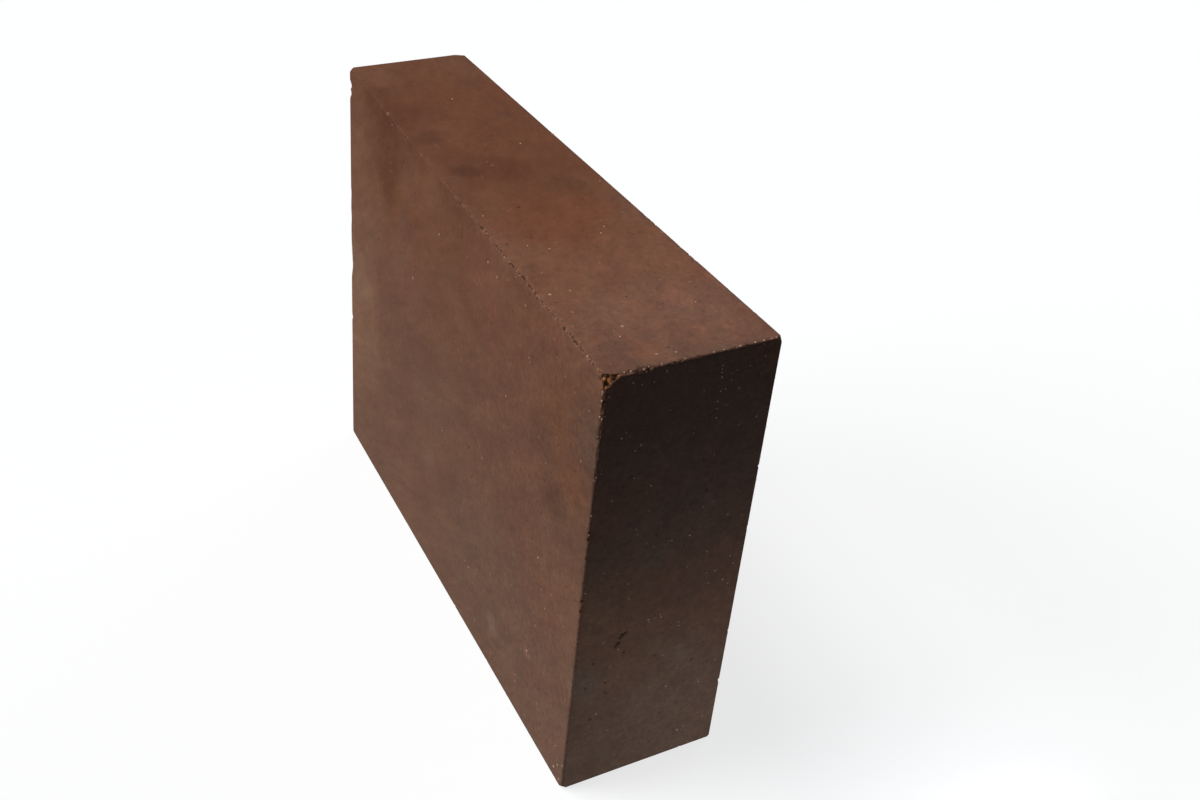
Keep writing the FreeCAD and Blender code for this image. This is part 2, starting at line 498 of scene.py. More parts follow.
dents = add(skin, "GeometryNodeObjectInfo", {"Object": dent_points}).outputs["Geometry"]
nearest = add(skin, "GeometryNodeSampleNearest", {"Geometry": dents, "Sample Position": bent_place}).outputs[0]
found = {}
for name in ("dent_width", "dent_depth"):
    value = add(skin, "GeometryNodeInputNamedAttribute", {"Name": name}).outputs[0]
    sampled = add(skin, "GeometryNodeSampleIndex", {"Geometry": dents, "Value": value, "Index": nearest})
    found[name] = sampled.outputs[0]
to_dent = add(
    skin,
    "GeometryNodeProximity",
    {"Geometry": dents, "Sample Position": bent_place},
    target_element="POINTS",
).outputs["Distance"]
dent_shape = {"Value": to_dent, "From Min": 0.0, "From Max": found["dent_width"], "To Min": 1.0, "To Max": 0.0}
dent_shape = add(skin, "ShaderNodeMapRange", dent_shape, interpolation_type="SMOOTHSTEP").outputs[0]
dent_depth = add(skin, "ShaderNodeMath", {0: dent_shape, 1: found["dent_depth"]}, operation="MULTIPLY").outputs[0]
# Painted shade for pits and dents, which darkens their colour.
hollow_shade = add(skin, "ShaderNodeMath", {0: pitted, 1: PIT_SHADE}, operation="MULTIPLY").outputs[0]
dark_depth = add(skin, "ShaderNodeMath", {0: found["dent_width"], 1: DARK_SLOPE}, operation="MULTIPLY").outputs[0]
dent_shade = add(skin, "ShaderNodeMath", {0: dent_depth, 1: dark_depth}, operation="DIVIDE").outputs[0]
hollow_shade = add(skin, "ShaderNodeMath", {0: hollow_shade, 1: dent_shade}, operation="MAXIMUM").outputs[0]
hollow_shade = add(skin, "ShaderNodeMath", {0: hollow_shade, 1: knocked_before}, operation="SUBTRACT", use_clamp=True).outputs[0]
print(len(DENTS), "dents in their places")

# %% [markdown]
# ## Taking the surface back
#
# The depths are added and each point goes in along its normal. At an arris the normals turn through ninety degrees
# in less than a millimetre, and points that went in along them would cross, so the normals are blurred first. The
# masks that the finish needs are stored on the points, before they move: where the inside shows, where pits and dents
# get painted shade, and how far it is to the arris.

# %% Wear
BLUR_STEPS = 8
WELD = 0.02 * MM

depth = bite_depth
for part in (crumb_depth, rub_depth, wave_depth, grit_depth, pit_depth, dent_depth):
    depth = add(skin, "ShaderNodeMath", {0: depth, 1: part}, operation="ADD").outputs[0]

normal = add(skin, "GeometryNodeInputNormal").outputs[0]
blurred = add(skin, "GeometryNodeBlurAttribute", data_type="FLOAT_VECTOR")
skin.links.new(normal, blurred.inputs["Value"])
blurred.inputs["Iterations"].default_value = BLUR_STEPS
outward = add(skin, "ShaderNodeVectorMath", {0: blurred.outputs[0]}, operation="NORMALIZE").outputs[0]
inward_depth = add(skin, "ShaderNodeMath", {0: depth, 1: -1.0}, operation="MULTIPLY").outputs[0]
step_in = add(skin, "ShaderNodeVectorMath", {0: outward, "Scale": inward_depth}, operation="SCALE").outputs[0]

masked = pressed
for name, value in {"broken": broken, "pitted": hollow_shade, "to_arris": to_arris}.items():
    stored = {"Geometry": masked, "Name": name, "Value": value}
    masked = add(skin, "GeometryNodeStoreNamedAttribute", stored).outputs[0]
worn = add(skin, "GeometryNodeSetPosition", {"Geometry": masked, "Offset": step_in}).outputs[0]
welded = add(skin, "GeometryNodeMergeByDistance", {"Geometry": worn, "Distance": WELD}).outputs[0]
smooth = add(skin, "GeometryNodeSetShadeSmooth", {"Geometry": welded}).outputs[0]
finish_tree(skin, smooth, dial["Finish"])

# %% [markdown]
# ## Running the press
#
# The fine grid has far more triangles than a flat face needs. A Decimate modifier after the tree takes away those
# that say nothing and leaves them at the arrises, dents and pits.

# %% Press the brick
MOST_TRIANGLES = 190_000
TRIANGLES_PER_QUAD = 2

x, y, z = (skin_dials["Points " + axis] - 1 for axis in "XYZ")
all_triangles = 2 * (x * y + y * z + z * x) * TRIANGLES_PER_QUAD
brick = run_tree(skin, skin_dials, "brick_skin", keep_faces=MOST_TRIANGLES / all_triangles)
for helper in (press_form, dent_points):
    bpy.data.objects.remove(helper)
low = Vector(map(min, zip(*(v.co for v in brick.data.vertices))))
high = Vector(map(max, zip(*(v.co for v in brick.data.vertices))))
print("skin from", tuple(low), "to", tuple(high))
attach(brick, "root")
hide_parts("firebrick")

# %% [markdown]
# ## The fired finish
#
# Dark bricks of this kind are magnesia and chrome ore, pressed with a little binder and fired above 1600 °C. What the
# eye gets is a matt, dry surface the colour of milk chocolate, cloudy from the kiln's flames, with pale and rusty
# grains, and an orange-brown inside where a corner has broken.
#
# An image would give this for one view. The finish is mixed from noise instead, in layers from the broadest to the
# finest, each with a real size. A layer is a mask and a colour, so one loop lays them all.

# %% The clouds of the firing
BODY = "#6b4a3a"

# Each layer has its length in millimetres, where its mask starts and is full, its colour and its strength.
CLOUDS = {
    "flame_red": (60, 0.48, 0.72, "#744636", 0.38),
    "ash_grey": (42, 0.50, 0.72, "#6b5446", 0.32),
    "smoke": (26, 0.52, 0.76, "#5d3f31", 0.25),
    "bloom": (14, 0.54, 0.80, "#80604e", 0.30),
}

finish.use_nodes = True
paint = finish.node_tree
surface = paint.nodes["Principled BSDF"]
spot = add(paint, "ShaderNodeTexCoord").outputs["Object"]
axes = add(paint, "ShaderNodeSeparateXYZ", {0: spot}).outputs

colour = hex_colour(BODY)
for turn, (length, starts, full, tint, strength) in enumerate(CLOUDS.values()):
    cloud = {"Vector": spot, "W": turn, "Scale": 1 / (length * MM), "Detail": 5.0, "Roughness": 0.6}
    noise = add(paint, "ShaderNodeTexNoise", cloud, noise_dimensions="4D").outputs["Fac"]
    mask = {"Value": noise, "From Min": starts, "From Max": full, "To Max": strength}
    mask = add(paint, "ShaderNodeMapRange", mask, interpolation_type="SMOOTHSTEP").outputs[0]
    colour = add(paint, "ShaderNodeMix", {0: mask, 6: colour, 7: hex_colour(tint)}, data_type="RGBA").outputs[2]

# The lower half turns greyer and paler, more so towards the bottom.
FOOT_TINT, FOOT_TINT_STRENGTH = "#705648", 0.65
FOOT_TINT_FROM, FOOT_TINT_TO = 0.95, -0.05
foot_tint_mask = {"Value": axes["Z"], "From Min": FOOT_TINT_FROM * brick_top, "From Max": FOOT_TINT_TO * brick_top}
foot_tint_mask = add(paint, "ShaderNodeMapRange", {**foot_tint_mask, "To Max": FOOT_TINT_STRENGTH}).outputs[0]
colour = add(paint, "ShaderNodeMix", {0: foot_tint_mask, 6: colour, 7: hex_colour(FOOT_TINT)}, data_type="RGBA").outputs[2]
print(len(CLOUDS), "cloud layers and a veil of dust over", BODY)

# %% [markdown]
# ## Streaks and stains
#
# The larger stains are where they are on this brick, and so are the painted shade and light on the wide end, so each
# has a place and a reach. Noise bends their outlines, by a share of the reach, so that a small one wanders as much for
# its size as a large one.
#
# The faces also carry faint streaks that all run one way, left when the damp brick slid past the mould. A noise
# stretched along that line gives them, in three widths. They multiply the colour that is there by a tint, so they
# suit the red top, the grey foot and the stains alike.

# %% Stains in their places
# Each stain has its place along X, Y and Z and its reach, in millimetres, then its colour and its strength.
STAINS_AND_SHADING = (
    # The broad tones of the top, then painted shade on the head of the wide end
    # and painted light off the ground at its foot.
    ((10, 55, 222), 130, "#663f2d", 0.90),
    ((0, -112, 205), 100, "#794e3b", 0.80),
    ((0, -127, 165), 85, "#54473f", 0.60),
    ((0, -125, 10), 80, "#745e50", 0.50),
    ((-22, -98, 208), 32, "#855b49", 0.24),
    ((0, -98, 208), 32, "#855b49", 0.24),
    ((22, -98, 208), 32, "#855b49", 0.24),
    ((0, -25, 198), 36, "#6e3f29", 0.55),
    ((-47, 38, 178), 52, "#7a5340", 0.50),
    ((-44, 112, 180), 40, "#7a5340", 0.50),
    # The scorched patch across the top and its neighbours beside the arris.
    ((6, 4, 198), 27, "#5d3828", 0.36),
    ((13, -4, 198), 13, "#513727", 0.35),
    ((-2, 16, 198), 15, "#5a3526", 0.50),
    ((-14, 22, 198), 18, "#593526", 0.50),
    ((-19, 20, 198), 8, "#4b3024", 0.50),
    ((-23, 38, 198), 14, "#5c3829", 0.50),
    ((-22, 51, 198), 10, "#533325", 0.55),
    ((-26, 77, 198), 15, "#563325", 0.45),
    ((-27, 96, 198), 13, "#583627", 0.55),
    ((17, 96, 198), 7, "#563e31", 0.35),
    ((17, 61, 198), 7, "#573d31", 0.35),
    ((-13, -115, 198), 9, "#85543b", 0.30),
    ((12, -90, 198), 8, "#84594a", 0.40),
    # The same scorch where it runs down the left face.
    ((-28, 74, 188), 23, "#5b3729", 0.50),
    ((-28, 92, 182), 24, "#613e2e", 0.40),
    ((-29, 77, 166), 12, "#5a3729", 0.50),
    ((-30, 50, 197), 11, "#5b3829", 0.40),
    ((-29, 54, 158), 10, "#5d4038", 0.50),
    # Warmer, cooler and darker patches of the left face.
    ((-34, -112, 160), 50, "#6e4935", 0.65),
    ((-31, -28, 180), 28, "#7b5142", 0.50),
    ((-33, -97, 126), 14, "#573d30", 0.55),
    ((-33, -81, 147), 12, "#5c3f33", 0.50),
    ((-31, 5, 140), 32, "#73523f", 0.40),
    ((-32, -45, 40), 60, "#6a5547", 0.35),
    ((-34, -105, 25), 40, "#684b3e", 0.40),
    ((-29, 50, 135), 35, "#7a5645", 0.40),
    ((-28, 93, 142), 22, "#7e5b49", 0.45),
    ((-27, 128, 90), 63, "#805e4b", 0.80),
    ((-27, 122, 150), 30, "#7c5844", 0.50),
    ((-27, 120, 50), 30, "#83624f", 0.45),
    ((-27, 112, 100), 20, "#836b57", 0.25),
    ((-27, 95, 68), 14, "#806a57", 0.15),
    ((-29, 22, 57), 13, "#7a6553", 0.20),
    ((-33, -52, 25), 7, "#857364", 0.25),
    ((-33, -86, 40), 5, "#8c6354", 0.45),
    # Brown beside the left arris of the wide end, and the end's own patches and scuffs.
    ((-28, -131, 80), 36, "#765846", 0.45),
    ((-20, -128, 167), 34, "#52463f", 0.50),
    ((-29, -127, 58), 15, "#6c6457", 0.25),
    ((-10, -127, 60), 15, "#75523f", 0.30),
    ((14, -126, 133), 6, "#7c6b60", 0.14),
    ((-5, -126, 112), 8, "#6c6258", 0.12),
    ((14, -126, 56), 11, "#7a6b5d", 0.15),
    ((24, -126, 37), 4, "#8a7a6c", 0.20),
)
STAIN_PLATEAU = 0.25
STAIN_BEND = 0.8
STAIN_BEND_LENGTH = 20 * MM

bend = add(paint, "ShaderNodeTexNoise", {"Vector": spot, "Scale": 1 / STAIN_BEND_LENGTH, "Detail": 6.0})
bend = add(paint, "ShaderNodeVectorMath", {0: bend.outputs["Color"], 1: (0.5, 0.5, 0.5)}, operation="SUBTRACT")
for stained, reach, tint, strength in STAINS_AND_SHADING:
    centre = tuple(Vector(stained) * MM)
    bent = {0: bend.outputs[0], 1: (STAIN_BEND * reach * MM,) * 3, 2: spot}
    bent = add(paint, "ShaderNodeVectorMath", bent, operation="MULTIPLY_ADD").outputs[0]
    away = add(paint, "ShaderNodeVectorMath", {0: bent, 1: centre}, operation="DISTANCE").outputs[1]
    span = {"From Min": STAIN_PLATEAU * reach * MM, "From Max": reach * MM, "To Min": strength, "To Max": 0.0}
    mask = add(paint, "ShaderNodeMapRange", {"Value": away, **span}, interpolation_type="SMOOTHSTEP").outputs[0]
    colour = add(paint, "ShaderNodeMix", {0: mask, 6: colour, 7: hex_colour(tint)}, data_type="RGBA").outputs[2]
print(len(STAINS_AND_SHADING), "stains in their places")

# %% Streaks
STREAK_AXIS = Vector((0.3, 0.8, -0.5)).normalized()

# Each width has its length and width in millimetres, then what its pale and its dark streaks multiply the colour by.
STREAKS = {
    "broad": (75, 10, (1.16, 1.19, 1.14), (0.86, 0.84, 0.87)),
    "middle": (32, 3.6, (1.11, 1.13, 1.11), (0.89, 0.87, 0.87)),
    "fine": (10, 1.4, (1.06, 1.07, 1.05), (0.94, 0.93, 0.93)),
}
STREAK_FULL = 0.38

streak_turn = STREAK_AXIS.to_track_quat("X", "Z").inverted().to_euler()
turned = add(paint, "ShaderNodeMapping", {"Vector": spot, "Rotation": streak_turn}).outputs[0]
for length, width, pale, dark in STREAKS.values():
    shape = tuple(1 / (side * MM) for side in (length, width, width))
    stretched = add(paint, "ShaderNodeMapping", {"Vector": turned, "Scale": shape}).outputs[0]
    streaks = add(paint, "ShaderNodeTexNoise", {"Vector": stretched, "Scale": 1.0, "Detail": 3.0}).outputs["Fac"]
    for gain, full in ((pale, 0.5 + STREAK_FULL), (dark, 0.5 - STREAK_FULL)):
        mask = add(paint, "ShaderNodeMapRange", {"Value": streaks, "From Min": 0.5, "From Max": full}).outputs[0]
        tinted = {0: mask, 6: colour, 7: (*gain, 1.0)}
        colour = add(paint, "ShaderNodeMix", tinted, data_type="RGBA", blend_type="MULTIPLY").outputs[2]
print(len(STREAKS), "widths of streaks")

# %% [markdown]
# ## Grain by grain
#
# The grit is between half a millimetre and three. Voronoi cells are its natural pattern: each cell is one grain, and
# the cell's random colour says whether it is a pale, a rusty or a dark one. Most stay the colour of the body. The
# coordinates are bent a little first, so that no grain is a round dot, and a slower noise gathers them in swarms. The
# grain shows most in the third beside the wide end and fades along the brick.
#
# Between the grains the ground itself is mottled, in rusty and ashen flecks of a few millimetres and in light and
# dark ones of a few tenths.

# %% Grains
# Each size has its spacing in millimetres and how far a grain fills its cell.
GRAINS = {"fine": (1.3, 0.42), "coarse": (3.1, 0.22)}

# Each kind is drawn where the cell's lot lies under its share, and has its colour and strength.
KINDS = {"pale": (0.015, "#bd9f8b", 0.65), "rusty": (0.08, "#8c5038", 0.45), "dark": (0.10, "#472f26", 0.45)}
GRAIN_BEND = 0.9 * MM
SWARM_LENGTH = 11 * MM
FADE_FROM, FADE_TO = -0.4, 0.1
FADED = 0.35
MOTTLE_CONTRAST = 0.15

# Each fleck has its length in millimetres, then what its rusty and its ashen side multiply the colour by.
FLECKS = {
    "patch": (6.0, (1.18, 1.09, 1.05), (0.89, 0.93, 0.95)),
    "fleck": (2.2, (1.15, 1.07, 1.03), (0.88, 0.90, 0.92)),
}
FLECK_FULL = 0.27

fade_span = {"From Min": FADE_FROM * brick_size.y, "From Max": FADE_TO * brick_size.y, "To Min": 1.0, "To Max": FADED}
fade = add(paint, "ShaderNodeMapRange", {"Value": axes["Y"], **fade_span}, interpolation_type="SMOOTHSTEP").outputs[0]
swarm = add(paint, "ShaderNodeTexNoise", {"Vector": spot, "Scale": 1 / SWARM_LENGTH, "Detail": 2.0}).outputs["Fac"]
swarm = {"Value": swarm, "From Min": 0.42, "From Max": 0.62, "To Min": 0.15}
swarm = add(paint, "ShaderNodeMapRange", swarm).outputs[0]
shown = add(paint, "ShaderNodeMath", {0: swarm, 1: fade}, operation="MULTIPLY").outputs[0]

for length, rusty, ashen in FLECKS.values():
    flecks = {"Vector": spot, "W": length, "Scale": 1 / (length * MM), "Detail": 3.0, "Roughness": 0.6}
    flecks = add(paint, "ShaderNodeTexNoise", flecks, noise_dimensions="4D").outputs["Fac"]
    for gain, full in ((rusty, 0.5 + FLECK_FULL), (ashen, 0.5 - FLECK_FULL)):
        mask = add(paint, "ShaderNodeMapRange", {"Value": flecks, "From Min": 0.5, "From Max": full}).outputs[0]
        mask = add(paint, "ShaderNodeMath", {0: mask, 1: fade}, operation="MULTIPLY").outputs[0]
        tinted = {0: mask, 6: colour, 7: (*gain, 1.0)}
        colour = add(paint, "ShaderNodeMix", tinted, data_type="RGBA", blend_type="MULTIPLY").outputs[2]

crooked = add(paint, "ShaderNodeTexNoise", {"Vector": spot, "Scale": 1 / (1.1 * MM), "Detail": 2.0}).outputs["Color"]
crooked = add(paint, "ShaderNodeVectorMath", {0: crooked, 1: (GRAIN_BEND,) * 3, 2: spot}, operation="MULTIPLY_ADD")
for spacing, fill in GRAINS.values():
    cell = add(paint, "ShaderNodeTexVoronoi", {"Vector": crooked.outputs[0], "Scale": 1 / (spacing * MM)})
    lots = fair_lots(paint, cell)
    shape = {"Value": cell.outputs["Distance"], "From Min": fill * 0.5, "From Max": fill, "To Min": 1.0, "To Max": 0.0}
    shape = add(paint, "ShaderNodeMapRange", shape).outputs[0]
    shape = add(paint, "ShaderNodeMath", {0: shape, 1: shown}, operation="MULTIPLY").outputs[0]
    for lot, (share_of_cells, tint, strength) in zip("XYZ", KINDS.values()):
        drawn = add(paint, "ShaderNodeMath", {0: lots[lot], 1: share_of_cells}, operation="LESS_THAN").outputs[0]
        mask = add(paint, "ShaderNodeMath", {0: drawn, 1: strength}, operation="MULTIPLY").outputs[0]
        mask = add(paint, "ShaderNodeMath", {0: mask, 1: shape}, operation="MULTIPLY").outputs[0]
        colour = add(paint, "ShaderNodeMix", {0: mask, 6: colour, 7: hex_colour(tint)}, data_type="RGBA").outputs[2]

mottle = add(paint, "ShaderNodeTexNoise", {"Vector": spot, "Scale": 1 / (2.4 * MM), "Detail": 5.0, "Roughness": 0.75})
mottle = {"Value": mottle.outputs["Fac"], "From Min": 0.3, "From Max": 0.7, "To Min": -1.0}
mottle = add(paint, "ShaderNodeMapRange", mottle).outputs[0]
mottle = add(paint, "ShaderNodeMath", {0: mottle, 1: fade}, operation="MULTIPLY").outputs[0]
light = add(paint, "ShaderNodeMath", {0: mottle, 1: MOTTLE_CONTRAST, 2: 1.0}, operation="MULTIPLY_ADD").outputs[0]
light = add(paint, "ShaderNodeCombineXYZ", {0: light, 1: light, 2: light}).outputs[0]
lit = {0: 1.0, 6: colour, 7: light}
colour = add(paint, "ShaderNodeMix", lit, data_type="RGBA", blend_type="MULTIPLY").outputs[2]

# %% [markdown]
# ## Where the inside shows
#
# A fresh break hasn't been in the flame, so it is brighter and more orange than the faces, and full of small holes,
# whose shade is painted in as dark spots. The masks that the tree stored on the points say where. A crumbled edge is
# older and dusty, so it only turns a little paler and darker from grain to grain, its dark partly grain and partly
# painted shade in its hollows, and a knocked corner shows the full orange. A broken line of painted shade, about a
# millimetre wide, runs along the arrises and tones down their rounded highlight.

# %% Broken edges and pits
# The dark of each pair is painted shade: in the holes of a fresh break, and in a crumbled edge partly dark grain and
# partly shade in its hollows.
CRUMB_DARK, CRUMB_LIGHT = "#432d23", "#785644"
INSIDE_DARK, INSIDE_LIGHT = "#452817", "#bd7a48"
HOLLOW_SHADE_COLOUR = "#33231c"
BREAK_GRAIN = 1.3
# Painted shade along the arrises: a broken dark line that tones down their rounded highlight.
ARRIS_SHADE, ARRIS_SHADE_STRENGTH = "#44302a", 0.55
ARRIS_SHADE_WIDTH = 1.6 * MM

masks = {
    name: add(paint, "ShaderNodeAttribute", attribute_name=name).outputs["Fac"]
    for name in ("broken", "knocked", "pitted", "to_arris")
}
break_noise = add(paint, "ShaderNodeTexNoise", {"Vector": spot, "Scale": 1 / (BREAK_GRAIN * MM), "Detail": 2.0})
# This noise places the painted shade of the holes, with the pale grain between.
hole_shade_noise = {"Value": break_noise.outputs["Fac"], "From Min": 0.40, "From Max": 0.60}
hole_shade_noise = add(paint, "ShaderNodeMapRange", hole_shade_noise).outputs[0]
# The painted arris shade fades out over its width and is broken up by the same noise as the holes.
arris_shade_mask = {"Value": masks["to_arris"], "From Min": 0.0, "From Max": ARRIS_SHADE_WIDTH, "To Min": ARRIS_SHADE_STRENGTH, "To Max": 0.0}
arris_shade_mask = add(paint, "ShaderNodeMapRange", arris_shade_mask).outputs[0]
arris_shade_mask = add(paint, "ShaderNodeMath", {0: arris_shade_mask, 1: hole_shade_noise}, operation="MULTIPLY").outputs[0]
colour = add(paint, "ShaderNodeMix", {0: arris_shade_mask, 6: colour, 7: hex_colour(ARRIS_SHADE)}, data_type="RGBA").outputs[2]
for mask, dark, pale in (("broken", CRUMB_DARK, CRUMB_LIGHT), ("knocked", INSIDE_DARK, INSIDE_LIGHT)):
    inside = {0: hole_shade_noise, 6: hex_colour(dark), 7: hex_colour(pale)}
    inside = add(paint, "ShaderNodeMix", inside, data_type="RGBA").outputs[2]
    colour = add(paint, "ShaderNodeMix", {0: masks[mask], 6: colour, 7: inside}, data_type="RGBA").outputs[2]
# Painted shade in pits and dents.
colour = add(paint, "ShaderNodeMix", {0: masks["pitted"], 6: colour, 7: hex_colour(HOLLOW_SHADE_COLOUR)}, data_type="RGBA").outputs[2]
paint.links.new(colour, surface.inputs["Base Color"])

# %% [markdown]
# ## Dry to the touch
#
# The surface is rough at every scale and drinks light, so it has next to no gloss, less than its minerals would have
# if they were polished. Two bumps stand in for what is too fine for the mesh: the sandy grain of half a millimetre,
# and a coarser unevenness under it.

# %% Roughness and bump
DRYNESS = 0.95
GLOSS = 0.06
# Each bump has its length and its height in millimetres.
BUMPS = {"uneven": (2.6, 0.10), "sandy": (0.8, 0.05)}

surface.inputs["Roughness"].default_value = DRYNESS
surface.inputs["Specular IOR Level"].default_value = GLOSS
facing = None
for length, height in BUMPS.values():
    relief = add(paint, "ShaderNodeTexNoise", {"Vector": spot, "Scale": 1 / (length * MM), "Detail": 3.0})
    raised = {"Height": relief.outputs["Fac"], "Distance": height * MM, "Strength": 1.0}
    if facing:
        raised["Normal"] = facing
    facing = add(paint, "ShaderNodeBump", raised).outputs[0]
paint.links.new(facing, surface.inputs["Normal"])
print(len(paint.nodes), "nodes in the finish")

# %% [markdown]
# ## Loose grit
#
# Up close a broken arris sparkles: single grains stand up in the breaks, some pale, some rusty, most of them dark. A
# few more sit in the faces. Bump can't give a grain its own sunny and shaded side, so they are real: small faceted
# balls, half sunk, scattered by a second tree wherever the skin's "broken" mask is on. The faces get a sparse share
# as well, and the pale ones that stand out on this brick are in their places.
#
# Each grain is an icosphere of twenty faces, which is plenty at half a millimetre, stretched by chance so that none
# is round.

# %% The grit's dials
grit_finish = bpy.data.materials.new("fired_magnesia_chrome_grit")
GRIT_SEED = 7

# Each grain has its place along the face's two directions and its radius, in millimetres.
TOP_GRAINS = (
    (9, -41, 0.7), (12.5, -37, 0.6), (12.5, 35, 0.7), (3, 82, 0.8), (17.5, -95, 0.5), (-27, -15, 0.6),
    (-18, -105, 0.6), (28, -4.5, 0.6), (-21, -40.5, 0.5), (30, 38.5, 0.9),
    # The sparkles beside the arris above the wide end.
    (-27, -124.3, 0.5), (-24.5, -124.3, 0.65), (-19.5, -124.3, 0.6), (-17.5, -124.3, 0.45), (-13, -124.3, 0.5),
    (-4, -124.3, 0.4), (7, -124.3, 0.5), (11, -124.3, 0.45), (17.5, -124.3, 0.65), (23.5, -124.3, 0.65),
    (27, -124.3, 0.7), (30, -124.3, 0.55), (32, -124.3, 0.55),
)
LEFT_GRAINS = (
    (-39, 186, 0.7), (-30.5, 187.5, 0.8), (-52.5, 142, 0.6), (-89, 92, 0.6), (-26, 34, 0.7), (-86, 40, 0.8),
    (17.5, 173, 0.8), (45, 137, 0.8), (-117, 5, 0.9), (-124, 13, 0.6), (-120, 9, 0.7), (-122, 3, 0.7),
    # Crumbs below the knocked corner.
    (-124, 192, 0.5), (-124.2, 188.5, 0.55), (-123.6, 186, 0.4), (-124.2, 182, 0.45),
)
WIDE_END_GRAINS = (
    # The dashes of an old scratch.
    (10.9, 192, 0.5), (11, 190.5, 0.45), (11.2, 189, 0.5), (11.5, 187, 0.65), (11.8, 181.2, 0.55), (13.8, 181.6, 0.5),
    (11.4, 177, 0.5), (11.5, 174, 0.5), (11.9, 170, 0.65),
    # The upper half, where they stand out against the shade.
    (-11, 195, 0.6), (-23.5, 193.5, 0.6), (-15.5, 192, 0.5), (-20, 192, 0.4), (-32, 190, 0.45), (-33, 182.5, 0.4),
    (-25.5, 171.5, 0.6), (-17.5, 166.5, 0.65), (-19.5, 164.5, 0.45), (-11.2, 147, 0.65), (-18.5, 152.5, 0.4),
    (29, 166, 0.6), (15.5, 187.5, 0.35), (17.5, 188.5, 0.35), (22.5, 189, 0.4), (28, 184.5, 0.4), (13.5, 153.5, 0.35),
    (22, 164.5, 0.35), (-26.5, 145, 0.5), (12.5, 130, 0.4), (7, 129.5, 0.35), (16.5, 131.5, 0.4),
    # The lower half.
    (8.5, 118, 0.6), (-0.5, 118.5, 0.35), (-15, 128.5, 0.4), (28.5, 101.5, 0.5), (30.5, 97, 0.4), (30.5, 120.5, 0.4),
    (20.5, 90.5, 0.4), (-20.5, 109.5, 0.4), (-14, 95, 0.45), (0.7, 81.8, 0.5), (1.3, 80.1, 0.6), (-4.4, 81, 0.6),
    (-3.8, 79.4, 0.4), (10, 72.5, 0.45), (-23, 76, 0.4), (-16, 70, 0.5), (-33, 104.5, 0.5), (24, 36.5, 0.45),
    # Crumbs that cling to its arrises.
    (-32, 160, 0.35), (-32, 158.5, 0.35), (-34, 157, 0.6), (-34, 140.5, 0.5), (-34, 132, 0.4), (34, 181, 0.5),
    (34, 160, 0.6), (34, 146.5, 0.5), (34, 142.5, 0.4), (34, 136, 0.6), (34, 133, 0.5),
)
PALE = 1.0

pale_grains = [(Vector((x * MM, y * MM, brick_top)), radius * MM, PALE) for x, y, radius in TOP_GRAINS]
pale_grains += [(Vector((-wide_half, y * MM, z * MM)), radius * MM, PALE) for y, z, radius in LEFT_GRAINS]
pale_grains += [(Vector((x * MM, brick_low.y, z * MM)), radius * MM, PALE) for x, z, radius in WIDE_END_GRAINS]

placed_mesh = bpy.data.meshes.new("placed_grains")
placed_mesh.from_pydata([grain[0] for grain in pale_grains], [], [])
for name, column in {"grain_radius": 1, "tone": 2}.items():
    values = placed_mesh.attributes.new(name, "FLOAT", "POINT").data
    values.foreach_set("value", [grain[column] for grain in pale_grains])
placed_grains = bpy.data.objects.new("placed_grains", placed_mesh)
bpy.context.scene.collection.objects.link(placed_grains)

grit_dials = {
    "Placed Grains": placed_grains,
    "Finish": grit_finish,
    "Per Break Area": 0.6 / MM**2,
    "Per Face Area": 0.0008 / MM**2,
    "Smallest": 0.17 * MM,
    "Largest": 0.46 * MM,
    "Sunk Share": 0.35,
    "Low Limit": brick_low + Vector((0.02, 0.02, 0.02)) * MM,
    "High Limit": brick_high - Vector((0.02, 0.02, 0.02)) * MM,
}
loose, grain_dial = new_tree("loose_grit", grit_dials)
print(len(pale_grains), "grains in their places")

# %% Scatter and place
skin_mesh = grain_dial["Geometry"]
break_mask = add(loose, "GeometryNodeInputNamedAttribute", {"Name": "broken"}).outputs[0]
density = {0: break_mask, 1: grain_dial["Per Break Area"], 2: grain_dial["Per Face Area"]}
density = add(loose, "ShaderNodeMath", density, operation="MULTIPLY_ADD").outputs[0]
scattered = add(
    loose,
    "GeometryNodeDistributePointsOnFaces",
    {"Mesh": skin_mesh, "Density": density, "Seed": GRIT_SEED},
)
radius = {2: grain_dial["Smallest"], 3: grain_dial["Largest"], "Seed": GRIT_SEED}
radius = add(loose, "FunctionNodeRandomValue", radius, data_type="FLOAT").outputs[1]
tone = {2: 0.0, 3: 1.0, "Seed": GRIT_SEED + 1}
tone = add(loose, "FunctionNodeRandomValue", tone, data_type="FLOAT").outputs[1]
scattered = {"Geometry": scattered.outputs["Points"], "Name": "grain_radius", "Value": radius}
scattered = add(loose, "GeometryNodeStoreNamedAttribute", scattered).outputs[0]
scattered = {"Geometry": scattered, "Name": "tone", "Value": tone}
scattered = add(loose, "GeometryNodeStoreNamedAttribute", scattered).outputs[0]

placed = add(loose, "GeometryNodeObjectInfo", {"Object": grain_dial["Placed Grains"]}).outputs["Geometry"]
placed = add(loose, "GeometryNodeMeshToPoints", {"Mesh": placed}).outputs[0]
grains = add(loose, "GeometryNodeJoinGeometry")
for part in (scattered, placed):
    loose.links.new(part, grains.inputs[0])

